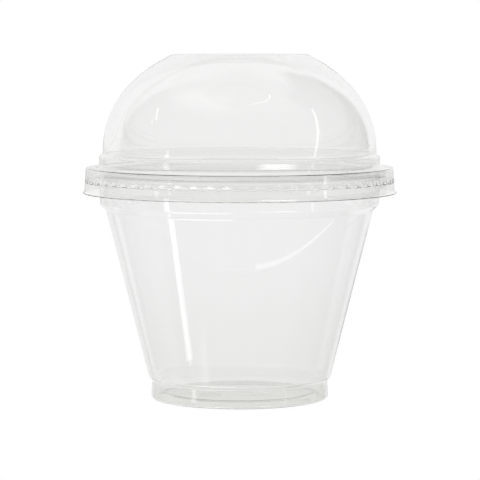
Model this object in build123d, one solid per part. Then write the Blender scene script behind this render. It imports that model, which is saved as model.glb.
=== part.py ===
from build123d import *
import os
from math import cos, radians, sin, sqrt, tan

# A squat clear dessert cup with a snap-on dome lid, both formed from thin PET sheet.
# Millimetres. The cup stands on the XY plane and its axis is +Z. Each piece is an
# outline drawn as (radius, height), given its wall, and turned round the axis.

# --- Cup: driving dimensions ---
CUP_HEIGHT = 74.6  # stand plane to the top of the rolled rim
RIM_DIAMETER = 98.0  # over the rolled rim
BASE_DIAMETER = 57.6  # over the foot band
CUP_WALL = 0.35

CURL_DIAMETER = 3.9  # the roll of the rim, measured over its outside
CURL_SWEEP = 255.0  # degrees that the rim turns through: over, out, down and back in
BAND_HEIGHT = 11.5  # rim top down to the foot of the upright band
BAND_DRAFT = 2.0  # degrees
SHOULDER_STEP = 1.95  # radial step from the tapered body out to the band
SHOULDER_HEIGHT = 2.0
FOOT_HEIGHT = 5.9  # stand plane to the waist above the foot band
FOOT_DRAFT = 3.0  # degrees; the foot band leans in towards its waist
STACK_STEP = 1.1  # radial step from the waist out to the tapered body
STACK_HEIGHT = 1.2
FOOT_RING_WIDTH = 2.7  # the ring that the cup stands on
FLOOR_RISE = 1.8  # underside of the floor above the stand plane
FLOOR_BEVEL = 1.6  # radial run of the slope from the foot ring up to the floor
FOOT_CORNER_RADIUS = 0.9
WAIST_RADIUS = 0.8
SHOULDER_RADIUS = 1.3
FLOOR_CORNER_RADIUS = 1.2

# --- Moulded marks under the floor: a plain ring with a pip, and a row of pips ---
MARK_HEIGHT = 0.3
MARK_RING_RADIUS = 3.4
MARK_RING_WIDTH = 0.7
MARK_PIP_RADIUS = 0.6
MARK_PIP_PITCH = 2.4
MARK_PIP_COUNT = 5
MARK_OFFSET = 9.5  # of each mark to its own side of the axis
MARK_FORWARD = 9.0  # of both marks towards the front, -Y

# --- Lid: driving dimensions ---
LID_RISE = 36.9  # rim top to the flat top of the dome
LID_WALL = 0.28
TOP_INSET = 22.2  # radial step from the dome's foot in to the corner of the flat top
TOP_EDGE_RADIUS = 4.0
DOME_FOOT_HEIGHT = 5.25  # of the dome's upright foot above the ledge
DOME_INSET = 1.2  # radial step from the neck in to the foot of the dome
DOME_SIDE_RADIUS = 30.9  # of the dome's side, in section
DOME_KNEE_ANGLE = 43.5  # degrees above level where the side meets the flatter crown
NECK_HEIGHT = 3.75  # upright neck above the ledge
NECK_INSET = 3.75  # of the neck's foot, in from the rim's outside
NECK_DRAFT = -3.0  # degrees; minus, as the neck leans in towards its foot
NECK_SHOULDER_HEIGHT = 0.7
SKIRT_DROP = 7.85  # rim top down to the lower edge of the skirt
SKIRT_DRAFT = 3.5  # degrees
LIP_WIDTH = 0.65  # the turned-out lower edge
LIP_HEIGHT = 0.35
LEDGE_CORNER_RADIUS = 0.4  # outer edge of the ledge
NECK_FOOT_RADIUS = 1.4
NECK_SHOULDER_RADIUS = 0.6
LIP_RADIUS = 0.6

# --- How the lid fits the rim ---
SEAT_CLEARANCE = 0.15  # under the ledge, above the rim
SKIRT_CLEARANCE = 0.4  # round the rim, inside the top of the skirt
SNAP_CLEARANCE = 0.12  # between the snap dimples and the rim as they pass
SNAP_COUNT = 60
SNAP_PHASE = 1.4  # degrees from the front, -Y, to the first dimple
SNAP_WIDTH = 3.0  # across the foot of a dimple
SNAP_TOP_WIDTH = 1.6
SNAP_HEIGHT = 1.5
SNAP_OVERLAP = 1.2  # of a dimple's height, up past the underside of the rim's roll
SNAP_TAPER = 22.0  # degrees on the dimple's sides

FRONT = -90.0  # degrees; the front faces -Y


def shell_of_revolution(outline, wall, side):
    """Give an outline a wall on one side and turn it round Z."""
    section = make_face(offset(outline, amount=wall, side=side, closed=True))
    return revolve(Plane.XZ * section, Axis.Z)


# --- Cup ---
rim_radius = RIM_DIAMETER / 2
base_radius = BASE_DIAMETER / 2
curl_centre = Vector(rim_radius - CURL_DIAMETER / 2, CUP_HEIGHT - CURL_DIAMETER / 2)


def cup_outline():
    """The cup's outer face, from the middle of the floor to the end of the rim's roll."""
    draft = radians(BAND_DRAFT)
    up_the_band = Vector(sin(draft), cos(draft))
    roll_radius = CURL_DIAMETER / 2 - CUP_WALL
    roll_start = curl_centre + Vector(-cos(draft), sin(draft)) * roll_radius
    band_foot_z = CUP_HEIGHT - BAND_HEIGHT
    band_foot_r = roll_start.X - (roll_start.Y - band_foot_z) * tan(draft)
    waist_r = base_radius - FOOT_HEIGHT * tan(radians(FOOT_DRAFT))
    ring_inner_r = base_radius - FOOT_RING_WIDTH
    corners = [
        (0, FLOOR_RISE),
        (ring_inner_r - FLOOR_BEVEL, FLOOR_RISE),
        (ring_inner_r, 0),
        (base_radius, 0),
        (waist_r, FOOT_HEIGHT),
        (waist_r + STACK_STEP, FOOT_HEIGHT + STACK_HEIGHT),
        (band_foot_r - SHOULDER_STEP, band_foot_z - SHOULDER_HEIGHT),
        (band_foot_r, band_foot_z),
        (roll_start.X, roll_start.Y),
    ]
    radii = [
        FLOOR_CORNER_RADIUS,
        FOOT_CORNER_RADIUS,
        FOOT_CORNER_RADIUS,
        WAIST_RADIUS,
        WAIST_RADIUS,
        SHOULDER_RADIUS,
        SHOULDER_RADIUS,
    ]
    wall = FilletPolyline(*corners, radius=radii)
    roll = JernArc(roll_start, up_the_band, roll_radius, -CURL_SWEEP)
    return Wire(wall.edges() + roll.edges())


def base_marks():
    """Raised marks under the floor, where a maker's marks would be."""
    pip = Circle(MARK_PIP_RADIUS)
    ring = Circle(MARK_RING_RADIUS) - Circle(MARK_RING_RADIUS - MARK_RING_WIDTH)
    left, right = Pos(-MARK_OFFSET, -MARK_FORWARD), Pos(MARK_OFFSET, -MARK_FORWARD)
    row = GridLocations(MARK_PIP_PITCH, 0, MARK_PIP_COUNT, 1)
    marks = Sketch() + [left * ring, left * pip] + [right * place * pip for place in row]
    mark_plane = Plane.XY.offset(FLOOR_RISE - MARK_HEIGHT)
    return extrude(mark_plane * marks, MARK_HEIGHT + CUP_WALL / 2)


cup = shell_of_revolution(cup_outline(), CUP_WALL, Side.LEFT) + base_marks()

# --- Lid ---
ledge_z = CUP_HEIGHT + SEAT_CLEARANCE + LID_WALL
lid_top_z = CUP_HEIGHT + LID_RISE
skirt_r = rim_radius + SKIRT_CLEARANCE + LID_WALL  # outer face, level with the ledge


def skirt_radius_at(z):
    """Outer radius of the tapered skirt at a height."""
    return skirt_r + (ledge_z - z) * tan(radians(SKIRT_DRAFT))


def dome_points(foot):
    """Where the arcs of the dome's section meet, from the flat top down to the knee."""
    knee_angle = radians(DOME_KNEE_ANGLE)
    outward = Vector(cos(knee_angle), sin(knee_angle))
    knee = foot - Vector(DOME_SIDE_RADIUS, 0) + outward * DOME_SIDE_RADIUS
    # the crown's arc leaves the knee tangent to the side and reaches the top's corner
    to_corner = Vector(foot.X - TOP_INSET, lid_top_z) - knee
    crown_radius = -to_corner.dot(to_corner) / (2 * to_corner.dot(outward))
    crown_centre = knee - outward * crown_radius
    # the top's edge is an arc tangent to the flat top and to the crown
    edge_z = lid_top_z - TOP_EDGE_RADIUS
    reach = crown_radius - TOP_EDGE_RADIUS
    edge_r = crown_centre.X + sqrt(reach**2 - (edge_z - crown_centre.Y) ** 2)
    edge_centre = Vector(edge_r, edge_z)
    crown_start = crown_centre + (edge_centre - crown_centre) * (crown_radius / reach)
    return Vector(edge_r, lid_top_z), crown_start, knee


def lid_outline():
    """The lid's outer face, from the middle of the top to the lower edge of the skirt."""
    neck_foot_r = rim_radius - NECK_INSET
    neck_top_r = neck_foot_r - NECK_HEIGHT * tan(radians(NECK_DRAFT))
    dome_foot_r = neck_top_r - DOME_INSET
    dome_foot = Vector(dome_foot_r, ledge_z + DOME_FOOT_HEIGHT)
    lip_z = CUP_HEIGHT - SKIRT_DROP + LID_WALL
    lip_start_r = skirt_radius_at(lip_z)
    flat_end, crown_start, knee = dome_points(dome_foot)

    top = Line((0, lid_top_z), flat_end)
    edge = TangentArc(flat_end, crown_start, tangent=top % 1)
    crown = TangentArc(crown_start, knee, tangent=edge % 1)
    side = TangentArc(knee, dome_foot, tangent=crown % 1)
    corners = [
        dome_foot,
        (dome_foot_r, ledge_z + NECK_HEIGHT + NECK_SHOULDER_HEIGHT),
        (neck_top_r, ledge_z + NECK_HEIGHT),
        (neck_foot_r, ledge_z),
        (skirt_r, ledge_z),
        (lip_start_r, lip_z + LIP_HEIGHT),
        (lip_start_r + LIP_WIDTH, lip_z),
    ]
    radii = [
        NECK_SHOULDER_RADIUS,
        NECK_SHOULDER_RADIUS,
        NECK_FOOT_RADIUS,
        LEDGE_CORNER_RADIUS,
        LIP_RADIUS,
    ]
    lower = FilletPolyline(*corners, radius=radii)
    return Wire([top.edge(), edge.edge(), crown.edge(), side.edge(), *lower.edges()])


def snap_dimples():
    """The snap dimples round the skirt: what each one adds inside, and its hollow."""
    foot_z = CUP_HEIGHT - CURL_DIAMETER + SNAP_OVERLAP - SNAP_HEIGHT
    face_r = skirt_radius_at(foot_z + SNAP_HEIGHT)
    tip_r = rim_radius + SNAP_CLEARANCE
    hollow_depth = face_r - tip_r - LID_WALL
    half_foot, half_top = SNAP_WIDTH / 2, SNAP_TOP_WIDTH / 2
    mouth = make_face(
        Polyline(
            (-half_foot, 0),
            (half_foot, 0),
            (half_top, SNAP_HEIGHT),
            (-half_top, SNAP_HEIGHT),
            close=True,
        )
    )
    around = offset(mouth, amount=LID_WALL, kind=Kind.INTERSECTION)
    inward = Plane(origin=(face_r, 0, foot_z), x_dir=(0, -1, 0), z_dir=(-1, 0, 0))
    swell = extrude(inward * around, hollow_depth + LID_WALL, taper=SNAP_TAPER)
    hollow = extrude(inward * mouth, hollow_depth, taper=SNAP_TAPER)
    hollow += extrude(inward * mouth, -LID_WALL)
    places = PolarLocations(0, SNAP_COUNT, start_angle=FRONT + SNAP_PHASE)
    return [place * swell for place in places], [place * hollow for place in places]


swells, hollows = snap_dimples()
lid = shell_of_revolution(lid_outline(), LID_WALL, Side.RIGHT)
lid = lid + swells - hollows

# --- Write each piece ---
os.makedirs("parts", exist_ok=True)
for name, piece in {"cup": cup, "lid": lid}.items():
    export_step(piece, f"parts/{name}.step")
    box = piece.bounding_box()
    print(name, "volume", round(piece.volume, 1), "z", round(box.min.Z, 3), round(box.max.Z, 3))
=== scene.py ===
# %% [markdown]
# # A clear dessert cup with a snap-on dome lid
# Two pieces of thin clear PET sheet, each formed in one go over a mould: a squat cup
# with a rolled rim, and a dome lid that snaps over it. This notebook turns both pieces
# as real sheets with an outside and an inside face, because clear plastic only looks
# right when light meets two faces at every wall. The simpler way, a single face with a
# wall added by a modifier, gives no say over the rolled rim and the cut edge. The first
# step loads the measured frame.

from math import acos, atan2, cos, degrees, pi, radians, sin, sqrt, tan

import bmesh
import bpy
import numpy as np
from mathutils import Matrix, Vector


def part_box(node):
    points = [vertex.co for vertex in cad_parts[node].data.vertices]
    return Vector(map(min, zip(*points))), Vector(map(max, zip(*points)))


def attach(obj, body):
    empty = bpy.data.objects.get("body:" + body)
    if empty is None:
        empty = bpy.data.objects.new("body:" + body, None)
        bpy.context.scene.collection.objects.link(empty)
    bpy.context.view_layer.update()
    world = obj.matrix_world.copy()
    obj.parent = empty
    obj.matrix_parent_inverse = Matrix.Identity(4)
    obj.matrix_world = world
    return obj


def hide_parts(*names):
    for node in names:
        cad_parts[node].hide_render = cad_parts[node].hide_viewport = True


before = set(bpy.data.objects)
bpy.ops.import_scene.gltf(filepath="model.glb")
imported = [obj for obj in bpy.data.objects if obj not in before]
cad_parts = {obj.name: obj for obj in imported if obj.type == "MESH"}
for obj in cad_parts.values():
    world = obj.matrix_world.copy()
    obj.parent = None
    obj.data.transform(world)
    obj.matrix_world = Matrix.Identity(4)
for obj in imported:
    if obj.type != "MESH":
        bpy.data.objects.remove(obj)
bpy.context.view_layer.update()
cup_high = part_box("cup")[1]
lid_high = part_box("lid")[1]
print("cup", [round(v * 1000, 2) for v in cup_high], "lid", [round(v * 1000, 2) for v in lid_high])

# %% [markdown]
# ## Sizes
# The frame gives the outside sizes: the cup's height and rim, and the lid's top. The
# rest are the small sizes of the two sections, in millimetres like the maker's drawing.
# Meshes are made in metres, so `MM` turns one into the other at the last moment.

# %% Sizes of the cup, mm
MM = 0.001
cup_height = cup_high[2] / MM
rim_radius = cup_high[0] / MM
base_radius = 28.8
cup_wall = 0.35
curl_diameter = 3.9
curl_sweep = 255
band_height = 11.5
band_draft = 2.0
shoulder_step, shoulder_height = 1.95, 2.0
foot_height, foot_draft = 5.9, 3.0
stack_step, stack_height = 1.1, 1.2
foot_ring_width = 2.7
floor_rise, floor_bevel = 1.8, 1.6
floor_corner, foot_corner, waist_corner, shoulder_corner = 2.2, 0.9, 0.8, 1.3  # radii
print("cup height", round(cup_height, 2), "rim radius", round(rim_radius, 2))

# %% Sizes of the lid, mm
lid_top = lid_high[2] / MM
lid_wall = 0.28
seat_clearance, skirt_clearance = 0.15, 0.4
top_inset, top_edge_radius = 22.2, 4.0
dome_foot_height, dome_inset = 5.25, 1.2
dome_side_radius, dome_knee_angle = 30.9, 43.5
neck_height, neck_inset, neck_draft = 3.75, 3.75, -3.0
neck_shoulder_height = 0.7
skirt_drop, skirt_draft = 7.85, 3.5
lip_width, lip_height = 0.65, 0.35
neck_shoulder_corner, neck_foot_corner, ledge_corner, lip_corner = 0.6, 1.4, 0.4, 0.6  # radii
ledge = cup_height + seat_clearance + lid_wall
skirt_radius = rim_radius + skirt_clearance + lid_wall
print("ledge at", round(ledge, 2), "lid top at", round(lid_top, 2))

# %% [markdown]
# ## Drawing a section
# Both pieces are round, so each is drawn once as a section and turned. A section is a
# list of samples, each a radius, a height and a heading: the way the pen is moving, in
# radians. The heading is what makes the wall easy. The inside face is every sample
# moved one wall's thickness to the side of its heading, so the wall stays even round
# every corner, as it nearly does in formed sheet. Bezier curves would do as well, but
# arcs and straight runs are how such a mould is cut.

# %% Arcs
BEND_STEP = radians(7)  # of turn between samples


def left_of(heading):
    """The unit vector on the left of a heading."""
    return np.array([-sin(heading), cos(heading)])


def arc(start, heading, radius, turn):
    """Samples round an arc that leaves start on a heading; turn is in radians, left is plus."""
    side = 1 if turn > 0 else -1
    centre = np.array(start) + side * radius * left_of(heading)
    count = max(2, round(abs(turn) / BEND_STEP))
    headings = heading + turn * np.arange(count + 1) / count
    return [(*(centre - side * radius * left_of(h)), h) for h in headings]


print("a quarter turn has", len(arc((0, 0), 0.0, 1.0, pi / 2)), "samples")

# %% Straight runs
END_SUPPORT = 0.12  # mm; samples just inside a run's ends keep its shading straight


def run(start, end, rows=()):
    """Samples along a straight run, with more rows at the given heights."""
    start, end = np.array(start), np.array(end)
    length = np.hypot(*(end - start))
    heading = atan2(*(end - start)[::-1])
    shares = [END_SUPPORT / length, 1 - END_SUPPORT / length] if length > 3 * END_SUPPORT else []
    shares += [(row - start[1]) / (end[1] - start[1]) for row in rows]
    return [(*(start + (end - start) * share), heading) for share in sorted(shares)]


print("a long run has", len(run((0, 0), (10, 0))), "samples")


# %% Corners
def rounded(corners, radii, rows=None):
    """Straight runs through corners, each rounded by its radius. rows is keyed by run."""
    rows = rows or {}
    corners = [np.array(c, dtype=float) for c in corners]
    samples = []
    leave = corners[0]
    for i, radius in enumerate(radii, start=1):
        before, after = corners[i] - corners[i - 1], corners[i + 1] - corners[i]
        heading = atan2(before[1], before[0])
        turn = (atan2(after[1], after[0]) - heading + pi) % (2 * pi) - pi
        reach = radius * tan(abs(turn) / 2)
        meet = corners[i] - before / np.hypot(*before) * reach
        bend = arc(meet, heading, radius, turn)
        samples += run(leave, meet, rows.get(i - 1, ())) + bend
        leave = np.array(bend[-1][:2])
    return samples + run(leave, corners[-1], rows.get(len(radii), ()))


corner = rounded([(0, 0), (10, 0), (10, 10)], [2])
print("a 2 mm corner has", len(corner), "samples")

# %% [markdown]
# ## Giving the section its wall, and turning it
# `wall_round` walks the outside face, rounds the cut edge and comes back along the
# inside face. `turn_section` then places each sample on a ring of points and joins
# neighbouring rings. A ring may have more columns than the next, where small features
# such as snap dimples need them, and each face of the join then has the extra points
# along one side.

# %% From outline to section
def wall_round(outline, wall, side):
    """The closed section of a sheet, from its outline and its wall.

    side is 1 where the inside is on the pen's left, and -1 where it is on the right.
    """
    r, z, heading = outline[-1]
    edge = arc((r, z), heading, wall / 2, side * pi)[1:-1]
    inside = [
        (*(np.array([r, z]) + side * wall * left_of(h)), h + pi) for r, z, h in reversed(outline)
    ]
    return (outline + edge + inside)[::side]  # always with the plastic on the left


print("a walled corner has", len(wall_round(corner, 0.3, 1)), "samples")


# %% Join two rings
def join_rings(ring, start, next_ring, next_start):
    """Faces between two rings, wound so that they face away from the pen's left."""
    columns, next_columns = ring[2], next_ring[2]
    if ring[0] < 1e-6:
        return [
            (start, next_start + (k + 1) % next_columns, next_start + k)
            for k in range(next_columns)
        ]
    if next_ring[0] < 1e-6:
        return [(start + k, start + (k + 1) % columns, next_start) for k in range(columns)]
    coarse = min(columns, next_columns)
    near, far = columns // coarse, next_columns // coarse
    faces = []
    for k in range(coarse):
        here = [start + (k * near + j) % columns for j in range(near + 1)]
        there = [next_start + (k * far + j) % next_columns for j in range(far + 1)]
        faces.append(tuple(here + there[::-1]))
    return faces


print("two rings of 6 and 12 columns join in", len(join_rings((1, 0, 6), 0, (1, 1, 12), 6)), "faces")


# %% Turn a section
def turn_section(name, rings):
    """Turns rings of (radius, height, columns, shape) into a closed mesh object.

    shape is None, or a function from an angle and the ring's (radius, height) to a radius.
    """
    points, starts = [], []
    for radius, height, columns, shape in rings:
        starts.append(len(points))
        for k in range(columns if radius > 1e-6 else 1):
            angle = 2 * pi * k / columns
            r = shape(angle, radius, height) if shape else radius
            points.append((r * cos(angle) * MM, r * sin(angle) * MM, height * MM))
    faces = []
    for (ring, start), (next_ring, next_start) in zip(
        zip(rings, starts), zip(rings[1:], starts[1:])
    ):
        faces += join_rings(ring, start, next_ring, next_start)
    mesh = bpy.data.meshes.new(name)
    mesh.from_pydata(points, [], faces)
    mesh.shade_smooth()
    piece = bpy.data.objects.new(name, mesh)
    bpy.context.scene.collection.objects.link(piece)
    return piece


print("ready to turn sections")

# %% [markdown]
# ## The cup
# The outline is the cup's outside face, from the middle of the raised floor, down to
# the ring it stands on, up the foot band to its waist, out over the stacking step, up
# the tapered body and the shoulder, up the band, and round the rolled rim. The roll is
# an open curl of the same sheet, which is what stiffens the rim of a real cup.

# %% Cup outline
draft = radians(band_draft)
roll_radius = curl_diameter / 2 - cup_wall
roll_centre = np.array([rim_radius - curl_diameter / 2, cup_height - curl_diameter / 2])
roll_start = roll_centre + roll_radius * np.array([-cos(draft), sin(draft)])
band_foot = cup_height - band_height
band_foot_radius = roll_start[0] - (roll_start[1] - band_foot) * tan(draft)
waist_radius = base_radius - foot_height * tan(radians(foot_draft))
ring_radius = base_radius - foot_ring_width

cup_corners = [
    (0, floor_rise),
    (ring_radius - floor_bevel, floor_rise),
    (ring_radius, 0),
    (base_radius, 0),
    (waist_radius, foot_height),
    (waist_radius + stack_step, foot_height + stack_height),
    (band_foot_radius - shoulder_step, band_foot - shoulder_height),
    (band_foot_radius, band_foot),
    tuple(roll_start),
]
cup_radii = [floor_corner, foot_corner, foot_corner, waist_corner, waist_corner,
             shoulder_corner, shoulder_corner]
roll = arc(roll_start, pi / 2 - draft, roll_radius, -radians(curl_sweep))
cup_outline = [(0, floor_rise, 0.0)] + rounded(cup_corners, cup_radii) + roll
print("cup outline has", len(cup_outline), "samples")

# %% Cup mesh
COLUMNS = 300  # round the axis; dimpled rings have a multiple of it
cup_section = wall_round(cup_outline, cup_wall, 1)
cup = turn_section("cup_shell", [(max(r, 0), z, COLUMNS, None) for r, z, h in cup_section])
print("cup mesh has", len(cup.data.polygons), "faces")

# %% [markdown]
# ## Marks under the floor
# A moulded cup carries its maker's marks under the floor. Here a plain ring with a pip
# and a row of pips stand in their place. Each is turned like the cup itself, moved to
# its place and joined to the cup's mesh, since on the real cup they are one piece.

# %% Sections of the marks
mark_height, mark_root = 0.3, 0.05  # below the floor's underside, and into the sheet
mark_foot, mark_top = floor_rise - mark_height, floor_rise + mark_root
mark_ring_radius, mark_ring_width = 3.4, 0.7
MARK_RING_COLUMNS, MARK_PIP_COLUMNS = 48, 16
mark_pip_radius, mark_pip_pitch, mark_pip_count = 0.6, 2.4, 5
mark_offset, mark_forward = 9.5, 9.0
ring_bore = mark_ring_radius - mark_ring_width
pip_section = [(0, mark_foot), (mark_pip_radius, mark_foot), (mark_pip_radius, mark_top), (0, mark_top)]
ring_section = [(ring_bore, mark_foot), (mark_ring_radius, mark_foot),
                (mark_ring_radius, mark_top), (ring_bore, mark_top), (ring_bore, mark_foot)]
first_pip = mark_offset - mark_pip_pitch * (mark_pip_count - 1) / 2
marks = [(ring_section, MARK_RING_COLUMNS, -mark_offset), (pip_section, MARK_PIP_COLUMNS, -mark_offset)]
marks += [
    (pip_section, MARK_PIP_COLUMNS, first_pip + mark_pip_pitch * k) for k in range(mark_pip_count)
]
print(len(marks), "marks")

# %% Join the marks to the cup
joined = bmesh.new()
for section, columns, x in marks:
    mark = turn_section("mark", [(r, z, columns, None) for r, z in section])
    mark.data.shade_flat()
    mark.data.transform(Matrix.Translation((x * MM, -mark_forward * MM, 0)))
    joined.from_mesh(mark.data)
    bpy.data.meshes.remove(mark.data)
bmesh.ops.remove_doubles(joined, verts=joined.verts, dist=1e-6)
joined.from_mesh(cup.data)
joined.to_mesh(cup.data)
joined.free()
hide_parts("cup")
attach(cup, "cup")
print("the cup mesh now has", len(cup.data.polygons), "faces")

# %% [markdown]
# ## The lid
# The lid's section is a flat top, a soft edge, a crown and a side that meet as two
# arcs, a small shoulder, a short neck, a ledge that sits on the rim, and a skirt that
# hangs round it and turns out at its lower edge. The two arcs of the dome are worked out as the mould
# maker would: the side's radius and the angle where it ends are chosen, and the crown's
# radius follows from having to reach the edge of the flat top.

# %% The two arcs of the dome
neck_foot_radius = rim_radius - neck_inset
neck_top_radius = neck_foot_radius - neck_height * tan(radians(neck_draft))
dome_foot_radius = neck_top_radius - dome_inset
dome_foot = ledge + dome_foot_height
lip = cup_height - skirt_drop + lid_wall


def skirt_radius_at(height):
    """Outside radius of the tapered skirt."""
    return skirt_radius + (ledge - height) * tan(radians(skirt_draft))


knee_angle = radians(dome_knee_angle)
outward = np.array([cos(knee_angle), sin(knee_angle)])
side_centre = np.array([dome_foot_radius - dome_side_radius, dome_foot])
knee = side_centre + dome_side_radius * outward
to_corner = np.array([dome_foot_radius - top_inset, lid_top]) - knee
crown_radius = -to_corner @ to_corner / (2 * to_corner @ outward)
crown_centre = knee - crown_radius * outward
edge_height = lid_top - top_edge_radius
reach = crown_radius - top_edge_radius
flat_radius = crown_centre[0] + sqrt(reach**2 - (edge_height - crown_centre[1]) ** 2)
edge_turn = acos((edge_height - crown_centre[1]) / reach)
crown_turn = pi / 2 - knee_angle - edge_turn
print("flat top radius", round(flat_radius, 2), "crown radius", round(crown_radius, 2))

# %% [markdown]
# ## The snap dimples
# Sixty small trapezoid dimples run round the skirt. They are pushed in from outside,
# and on the real lid their inner faces catch under the rolled rim. This lid is rigid,
# so they stay just clear of the rim instead. Each is deepest at its foot and runs out
# towards its top, so its face looks down and catches the light of the table. Here they
# are a change of radius that both faces of the sheet follow, so the wall keeps its
# thickness. Their edges are eased with a smooth step, since formed sheet never takes a
# sharp corner.

# %% Snap dimples
dimple_count, dimple_phase = 60, -90 + 1.4  # degrees to the first, near the front
dimple_width, dimple_top_width, dimple_height = 3.0, 1.6, 1.5
dimple_overlap = 1.2  # of its height, up past the underside of the roll
dimple_clearance = 0.12  # the least, to the rim as they pass
dimple_foot = cup_height - curl_diameter + dimple_overlap - dimple_height
dimple_tip_radius = rim_radius + dimple_clearance
dimple_depth = skirt_radius_at(dimple_foot + dimple_height) - lid_wall - dimple_tip_radius
dimple_slope = 0.25  # width of its sloping edges
dimple_rise = 0.72  # the share of its height over which it runs out
DIMPLE_COLUMNS, DIMPLE_ROWS = 20, 16  # in each dimple's share of the skirt, and up it


def smooth(x):
    """Rises from 0 to 1 with level ends."""
    x = min(max(x, 0.0), 1.0)
    return x * x * (3 - 2 * x)


def dimpled(angle, radius, height):
    """The radius with the dimples pushed in."""
    pitch = 2 * pi / dimple_count
    across = (angle - radians(dimple_phase) + pitch / 2) % pitch - pitch / 2
    across = abs(across) * radius
    up = (height - dimple_foot) / dimple_height
    half_width = (dimple_width + (dimple_top_width - dimple_width) * up) / 2
    inside = min(half_width - across, height - dimple_foot, dimple_foot + dimple_height - height)
    depth = dimple_depth * min(max((1 - up) / dimple_rise, 0.0), 1.0)
    return radius - depth * smooth((inside + dimple_slope / 2) / dimple_slope)


print("dimples are", round(dimple_depth, 2), "mm deep")

# %% Lid outline, from the top down
start = [(0.0, lid_top, 0.0)] + run((0, lid_top), (flat_radius, lid_top))
edge = arc((flat_radius, lid_top), 0.0, top_edge_radius, -edge_turn)
crown = arc(edge[-1][:2], -edge_turn, crown_radius, -crown_turn)[1:]
side = arc(crown[-1][:2], knee_angle - pi / 2, dome_side_radius, -knee_angle)[1:]
lid_corners = [
    (dome_foot_radius, dome_foot),
    (dome_foot_radius, ledge + neck_height + neck_shoulder_height),
    (neck_top_radius, ledge + neck_height),
    (neck_foot_radius, ledge),
    (skirt_radius, ledge),
    (skirt_radius_at(lip), lip + lip_height),
    (skirt_radius_at(lip) + lip_width, lip),
]
margin, row_gap = dimple_slope / 2, 0.08
dimple_rows = np.linspace(dimple_foot - margin, dimple_foot + dimple_height + margin, DIMPLE_ROWS)
skirt_rows = [dimple_rows[0] - row_gap, *dimple_rows, dimple_rows[-1] + row_gap]
lid_radii = [neck_shoulder_corner, neck_shoulder_corner, neck_foot_corner, ledge_corner, lip_corner]
SKIRT_RUN = 4  # counted from the dome's foot
lower = rounded(lid_corners, lid_radii, {SKIRT_RUN: skirt_rows})
lid_outline = start + edge + crown + side + lower
lid_section = wall_round(lid_outline, lid_wall, -1)
print("lid outline has", len(lid_outline), "samples")


# %% Lid mesh
def lid_ring(radius, height):
    """A ring of the lid, with more columns where it crosses the dimples."""
    low, high = dimple_rows[0] - 1e-3, dimple_rows[-1] + 1e-3
    if low <= height <= high and radius > rim_radius - 1:
        return (radius, height, dimple_count * DIMPLE_COLUMNS, dimpled)
    return (max(radius, 0), height, COLUMNS, None)


lid = turn_section("lid_shell", [lid_ring(r, z) for r, z, h in lid_section])
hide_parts("lid")
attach(lid, "lid")
print("lid mesh has", len(lid.data.polygons), "faces")

# %% [markdown]
# ## Clear PET
# PET sheet is as clear as glass but bends light a little more, and its surface is never
# quite true: it carries the faint ripple of the mould. Its tint has a faint green, and it
# is darker towards the cup's foot and round the lid's rim, which is painted shade. The cup
# and the lid share both effects, so each is a node group: a noise for the ripple's height,
# and a blend between two tints over a span of height. An image could hold the tint, but a
# blend by height needs no unwrapping and can't blur.

# %% A helper for node groups
def new_group(name, inputs, outputs):
    """A shader node group. inputs is (label, socket type, default), outputs (label, type)."""
    group = bpy.data.node_groups.new(name, "ShaderNodeTree")
    for label, kind, default in inputs:
        socket = group.interface.new_socket(label, in_out="INPUT", socket_type="NodeSocket" + kind)
        socket.default_value = default
    for label, kind in outputs:
        group.interface.new_socket(label, in_out="OUTPUT", socket_type="NodeSocket" + kind)
    return group, group.nodes.new("NodeGroupInput").outputs, group.nodes.new("NodeGroupOutput").inputs


print("ready to make groups")

# %% Sheet ripple group
ripple, given, result = new_group(
    "sheet_ripple", [("Scale", "Float", 60.0), ("Stretch", "Float", 0.35)], [("Height", "Float")]
)
coords = ripple.nodes.new("ShaderNodeTexCoord")
stretch = ripple.nodes.new("ShaderNodeCombineXYZ")
stretch.inputs["X"].default_value = 1.0
stretch.inputs["Y"].default_value = 1.0
scaled = ripple.nodes.new("ShaderNodeVectorMath")
scaled.operation = "MULTIPLY"
noise = ripple.nodes.new("ShaderNodeTexNoise")
noise.inputs["Detail"].default_value = 1.0
ripple.links.new(given["Stretch"], stretch.inputs["Z"])
ripple.links.new(coords.outputs["Object"], scaled.inputs[0])
ripple.links.new(stretch.outputs["Vector"], scaled.inputs[1])
ripple.links.new(scaled.outputs["Vector"], noise.inputs["Vector"])
ripple.links.new(given["Scale"], noise.inputs["Scale"])
ripple.links.new(noise.outputs["Fac"], result["Height"])
print("group", ripple.name)

# %% Height tint group
WHITE = (1.0, 1.0, 1.0, 1.0)
height_tint, given, result = new_group(
    "height_tint",
    [("From", "Float", 0.0), ("To", "Float", 0.1), ("Below", "Color", WHITE), ("Above", "Color", WHITE)],
    [("Color", "Color")],
)
coords = height_tint.nodes.new("ShaderNodeTexCoord")
split = height_tint.nodes.new("ShaderNodeSeparateXYZ")
level = height_tint.nodes.new("ShaderNodeMapRange")
blend = height_tint.nodes.new("ShaderNodeMix")
blend.data_type = "RGBA"
blend_below, blend_above = [socket for socket in blend.inputs if socket.type == "RGBA"]
blended = [socket for socket in blend.outputs if socket.type == "RGBA"][0]
height_tint.links.new(coords.outputs["Object"], split.inputs["Vector"])
height_tint.links.new(split.outputs["Z"], level.inputs["Value"])
height_tint.links.new(given["From"], level.inputs["From Min"])
height_tint.links.new(given["To"], level.inputs["From Max"])
height_tint.links.new(level.outputs["Result"], blend.inputs[0])
height_tint.links.new(given["Below"], blend_below)
height_tint.links.new(given["Above"], blend_above)
height_tint.links.new(blended, result["Color"])
print("group", height_tint.name)

# %% [markdown]
# ## The material
# A Principled shader with full transmission does the clearness, with no roughness and
# PET's own index. Shadows need care, because Cycles would otherwise draw them as dark
# as a solid's: light on its way to the floor is let straight through, by mixing in a
# Transparent shader for shadow rays alone.

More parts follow.
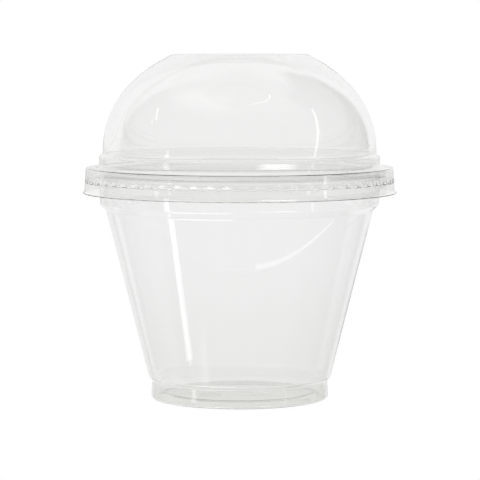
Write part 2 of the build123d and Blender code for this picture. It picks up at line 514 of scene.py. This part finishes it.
# %% The clear material
PET_INDEX = 1.575


def clear_sheet(name, ripple_scale, tints):
    """Clear formed sheet. tints lists heights in metres and the sheet's tint there, painted shade
    included.
    """
    material = bpy.data.materials.new(name)
    material.use_nodes = True
    nodes, links = material.node_tree.nodes, material.node_tree.links
    nodes.clear()
    output = nodes.new("ShaderNodeOutputMaterial")
    sheet = nodes.new("ShaderNodeBsdfPrincipled")
    sheet.inputs["Roughness"].default_value = 0.0
    sheet.inputs["IOR"].default_value = PET_INDEX
    sheet.inputs["Transmission Weight"].default_value = 1.0
    bump = nodes.new("ShaderNodeBump")
    bump.inputs["Strength"].default_value = 0.10
    bump.inputs["Distance"].default_value = 0.0002
    waves = nodes.new("ShaderNodeGroup")
    waves.node_tree = ripple
    waves.inputs["Scale"].default_value = ripple_scale
    links.new(waves.outputs["Height"], bump.inputs["Height"])
    links.new(bump.outputs["Normal"], sheet.inputs["Normal"])
    links.new(tint_chain(nodes, links, tints), sheet.inputs["Base Color"])
    clear = nodes.new("ShaderNodeBsdfTransparent")
    path = nodes.new("ShaderNodeLightPath")
    mix = nodes.new("ShaderNodeMixShader")
    links.new(path.outputs["Is Shadow Ray"], mix.inputs["Fac"])
    links.new(sheet.outputs["BSDF"], mix.inputs[1])
    links.new(clear.outputs["BSDF"], mix.inputs[2])
    links.new(mix.outputs["Shader"], output.inputs["Surface"])
    return material


def tint_chain(nodes, links, tints):
    """One height_tint for each span between heights, each blending on from the last."""
    colour = None
    for (low, below), (high, above) in zip(tints, tints[1:]):
        span = nodes.new("ShaderNodeGroup")
        span.node_tree = height_tint
        span.inputs["From"].default_value = low
        span.inputs["To"].default_value = high
        span.inputs["Below"].default_value = (*below, 1.0)
        span.inputs["Above"].default_value = (*above, 1.0)
        if colour:
            links.new(colour, span.inputs["Below"])
        colour = span.outputs["Color"]
    return colour


print("index of PET", PET_INDEX)

# %% Cup and lid materials
# The tints carry a faint green and painted shade: the cup grows darker towards its foot, and the lid is
# darker round the rim.
cup_tints_and_shade = [
    (0.0052, (0.890, 0.893, 0.873)),
    (0.0072, (0.938, 0.939, 0.934)),
    (0.0450, (0.974, 0.974, 0.973)),
]
lid_tints_and_shade = [(0.0786, (0.936, 0.938, 0.924)), (0.0796, (0.966, 0.967, 0.964))]
cup.data.materials.append(clear_sheet("clear_pet_cup", 45.0, cup_tints_and_shade))
lid.data.materials.append(clear_sheet("clear_pet_lid", 60.0, lid_tints_and_shade))
print("materials", [m.name for m in bpy.data.materials])

# %% [markdown]
# ## The camera
# A long lens from nearly a metre away, a little higher than the lid, looking slightly
# down.
# At that distance the cup's near and far sides keep almost the same scale. A short
# lens up close would open up the rim and the base into wide ellipses.

# %% Camera
camera_distance, camera_height = 0.860, 0.1233
aim_side, aim_height = 0.00013, 0.0513
camera_data = bpy.data.cameras.new("camera")
camera_data.lens = 199.5
camera_data.clip_start, camera_data.clip_end = 0.05, 200.0
camera = bpy.data.objects.new("camera", camera_data)
camera.location = (0.0, -camera_distance, camera_height)
aim = Vector((aim_side, 0.0, aim_height)) - camera.location
camera.rotation_mode = "QUATERNION"
camera.rotation_quaternion = aim.to_track_quat("-Z", "Y")
bpy.context.scene.collection.objects.link(camera)
bpy.context.scene.camera = camera
print("camera pitch", round(degrees(atan2(aim.z, -camera.location.y)), 2))

# %% [markdown]
# ## The studio
# Clear plastic is drawn by what it reflects and bends, so the studio matters as much as
# the material. The floor is a wide white glowing sheet. Behind the cup stands a white
# backdrop, which gives the bright zone inside the dome's outline. The room in front is
# dim, which is what makes the walls read as a light grey against the white.

# %% Floor
FLOOR_SIZE = 40.0
floor_mesh = bpy.data.meshes.new("floor")
half = FLOOR_SIZE / 2
floor_mesh.from_pydata(
    [(-half, -half, 0), (half, -half, 0), (half, half, 0), (-half, half, 0)], [], [(0, 1, 2, 3)]
)
floor = bpy.data.objects.new("floor", floor_mesh)
bpy.context.scene.collection.objects.link(floor)
floor_paint = bpy.data.materials.new("floor_paint")
floor_paint.use_nodes = True
floor_shader = floor_paint.node_tree.nodes["Principled BSDF"]
floor_shader.inputs["Base Color"].default_value = (0.0, 0.0, 0.0, 1.0)
floor_shader.inputs["Specular IOR Level"].default_value = 0.0
floor_shader.inputs["Emission Color"].default_value = (1.0, 1.0, 1.0, 1.0)
floor_path = floor_paint.node_tree.nodes.new("ShaderNodeLightPath")
floor_level = floor_paint.node_tree.nodes.new("ShaderNodeMapRange")
floor_level.inputs["To Min"].default_value = 0.977  # a shade less where it is seen through plastic
floor_paint.node_tree.links.new(floor_path.outputs["Is Camera Ray"], floor_level.inputs["Value"])
floor_paint.node_tree.links.new(floor_level.outputs["Result"], floor_shader.inputs["Emission Strength"])
floor_mesh.materials.append(floor_paint)
floor.visible_glossy = False
print("floor", FLOOR_SIZE, "m across")

# %% Room coordinates
world = bpy.data.worlds.new("studio")
bpy.context.scene.world = world
world.use_nodes = True
nodes, links = world.node_tree.nodes, world.node_tree.links
nodes.clear()


def math_node(operation, a, b=None, c=None):
    """A math node whose inputs are numbers or sockets."""
    node = nodes.new("ShaderNodeMath")
    node.operation = operation
    for socket, value in zip(node.inputs, (a, b, c)):
        if value is None:
            continue
        if isinstance(value, (int, float)):
            socket.default_value = value
        else:
            links.new(value, socket)
    return node.outputs[0]


direction = nodes.new("ShaderNodeTexCoord").outputs["Generated"]
split = nodes.new("ShaderNodeSeparateXYZ")
links.new(direction, split.inputs[0])
x, y, z = split.outputs
azimuth = math_node("ARCTAN2", x, y)  # 0 behind the cup, plus to its right
elevation = math_node("ARCSINE", z)
print("room nodes so far", len(nodes))


# %% A soft-edged panel
def ramp(value, low, high):
    """0 at low, 1 at high, both in degrees, with level ends; low may be the larger."""
    node = nodes.new("ShaderNodeMapRange")
    node.interpolation_type = "SMOOTHSTEP"
    links.new(value, node.inputs["Value"])
    node.inputs["From Min"].default_value = radians(low)
    node.inputs["From Max"].default_value = radians(high)
    return node.outputs["Result"]


def panel(room, brightness, left, right, low, high, soft, soft_up=None):
    """Paints a soft-edged panel on the room. Its limits are degrees, and so is soft."""
    soft_up = soft_up or soft
    mask = math_node("MULTIPLY", ramp(azimuth, left - soft, left + soft),
                     ramp(azimuth, right + soft, right - soft))
    mask = math_node("MULTIPLY", mask, ramp(elevation, low - soft_up, low + soft_up))
    mask = math_node("MULTIPLY", mask, ramp(elevation, high + soft_up, high - soft_up))
    gap = math_node("SUBTRACT", brightness, room)
    return math_node("MULTIPLY_ADD", mask, gap, room)


print("ready to hang panels")

# %% [markdown]
# ## Painting the room
# Each line hangs one panel over what is there: its brightness, its left and right
# edges, its lower and upper edges and its softness, all in degrees as seen from the
# cup. Meshes with glowing materials would do too, but a painted room has less noise and
# casts no stray shadows. The camera itself sees plain white all round.

# %% Panels of the room
ALL = (-200, 200)
room = 0.42
room = panel(room, 0.62, *ALL, 50, 100, 8)  # ceiling
room = panel(room, 0.90, -60, 60, 50, 75, 8)  # ceiling over the backdrop
room = panel(room, 0.25, 40, 105, -12, 62, 5)  # the dark side of the room
room = panel(room, 0.93, -60, 40, -3, 52, 4)  # backdrop
room = panel(room, 1.05, -164, -84, 54, 68, 12)  # key softbox, high on the front left
room = panel(room, 0.55, *ALL, -100, -3, 3)  # the floor, as the plastic reflects it
room = panel(room, 0.95, -100, -38, -60, -5, 6)  # where the floor is lit from the left
room = panel(room, 0.36, 38, 115, -60, -5, 6)  # and where it isn't
room = panel(room, 0.86, -32, 32, -60, -4, 6)  # the floor behind, which the cup's outlines mirror
room = panel(room, 3.60, -172, -132, -66, -38, 4, 2)  # a lit patch of table at the front left
room = panel(room, 3.60, -137, -112, -66, -34, 5, 2)  # the same patch, further round
room = panel(room, 7.00, 134, 162, -14, -8.7, 7, 0.7)  # a white card that lies at the front right
camera_ray = nodes.new("ShaderNodeLightPath").outputs["Is Camera Ray"]
level = math_node("MULTIPLY_ADD", camera_ray, math_node("SUBTRACT", 1.0, room), room)
background = nodes.new("ShaderNodeBackground")
background.inputs["Color"].default_value = (1.0, 1.0, 1.0, 1.0)
links.new(level, background.inputs["Strength"])
world_output = nodes.new("ShaderNodeOutputWorld")
links.new(background.outputs[0], world_output.inputs["Surface"])
print("room made")

# %% [markdown]
# ## Strip lights
# Four narrow lamps stand to the sides. A round, shiny wall turns a lamp into a thin
# upright streak. `strip_right` makes the one that leans along the right of the dome,
# `lamp_high` the short one on the dome's left, and `strip_left` the bright spots on the
# left of the neck and the skirt. `lamp_low` adds only a trace below the short one.
# Glowing sheets would do too, but area lights have less noise, since Cycles aims rays
# straight at them.

# %% Lights
CUP_MIDDLE = Vector((0.0, 0.0, 0.06))


def toward(front_angle, elevation):
    """Unit vector from the cup. front_angle is from the front, -Y, towards +X, in degrees."""
    a, e = radians(front_angle), radians(elevation)
    return Vector((sin(a) * cos(e), -cos(a) * cos(e), sin(e)))


def bar_light(name, start, end, width, brightness):
    """A flat bar of light between two points, turned to face the cup."""
    along = end - start
    middle = (start + end) / 2
    facing = middle - CUP_MIDDLE
    facing -= along * facing.dot(along) / along.dot(along)
    data = bpy.data.lights.new(name, "AREA")
    data.shape = "RECTANGLE"
    data.size, data.size_y = along.length, width
    data.energy = brightness * pi * along.length * width  # watts, so that its face has that brightness
    light = bpy.data.objects.new(name, data)
    across = facing.normalized().cross(along.normalized())
    turn = Matrix((along.normalized(), across, facing.normalized())).transposed()
    light.matrix_world = Matrix.Translation(middle) @ turn.to_4x4()
    light.visible_camera = False
    bpy.context.scene.collection.objects.link(light)
    return light


far = 1.5  # metres from the cup
for name, low_end, high_end, width, brightness in (
    ("strip_left", (-62, -2), (-62, 2.5), 0.09, 1.6),
    ("strip_right", (60, -9), (83, 42), 0.055, 1.5),
    ("lamp_high", (-84, 30), (-94, 39), 0.03, 1.6),
    ("lamp_low", (-86, 26), (-89, 29), 0.03, 1.2),
):
    bar_light(name, *(CUP_MIDDLE + toward(*end) * far for end in (low_end, high_end)), width, brightness)

# %% [markdown]
# ## Light on the floor
# The long streak down the left of the cup and the curved one at its right are both
# light that lies on the floor, seen in the tapered wall. They are drawn as thin strips
# just above the floor. A strip looks white to the camera, like the floor round it, and
# is only brighter than white to rays that the plastic mirrors, so that no bright line
# shows through the cup when it is seen from behind.

# %% Floor strips
STRIP_HEIGHT = 0.0002  # above the floor


def floor_strip(name, path, widths, brightness):
    """A strip of light on the floor along a path of (x, y) points in metres."""
    path = np.array(path)
    along = np.gradient(path, axis=0)
    across = np.stack([along[:, 1], -along[:, 0]], axis=1) / np.hypot(*along.T)[:, None] / 2
    half_widths = np.linspace(*widths, len(path))[:, None]
    edges = [path - across * half_widths, path + across * half_widths]
    points = [(*point, STRIP_HEIGHT) for edge in edges for point in edge]
    last = len(path)
    faces = [(k, last + k, last + k + 1, k + 1) for k in range(last - 1)]
    mesh = bpy.data.meshes.new(name)
    mesh.from_pydata(points, [], faces)
    strip = bpy.data.objects.new(name, mesh)
    bpy.context.scene.collection.objects.link(strip)
    paint = floor_paint.copy()
    paint.name = name + "_paint"
    paint.node_tree.nodes["Map Range"].inputs["To Min"].default_value = brightness
    mesh.materials.append(paint)
    strip.visible_transmission = False


floor_strip("window_glare", [(-0.039, -0.038), (-1.33, -0.76)], (0.0062, 0.12), 2.8)
bend = np.radians(np.linspace(-80, -39.5, 17))
arc_centre, arc_radius = np.array([-0.016, 0.123]), 0.233
floor_strip("curved_glare", arc_centre + arc_radius * np.stack([np.cos(bend), np.sin(bend)], axis=1),
            (0.0036, 0.0018), 2.0)
print("strips made")

# %% [markdown]
# ## Counting the bounces
# A ray that looks through the cup crosses four faces, and through the skirt and the
# rolled rim more than a dozen. The bounce limits are raised so that none of them ends
# in black, and the view transform is the plain one, so that white stays white.

# %% Render settings that belong to the object
scene = bpy.context.scene
scene.cycles.max_bounces = 32
scene.cycles.transmission_bounces = 32
scene.cycles.glossy_bounces = 16
scene.cycles.transparent_max_bounces = 32
scene.view_settings.view_transform = "Standard"
print("max bounces", scene.cycles.max_bounces)
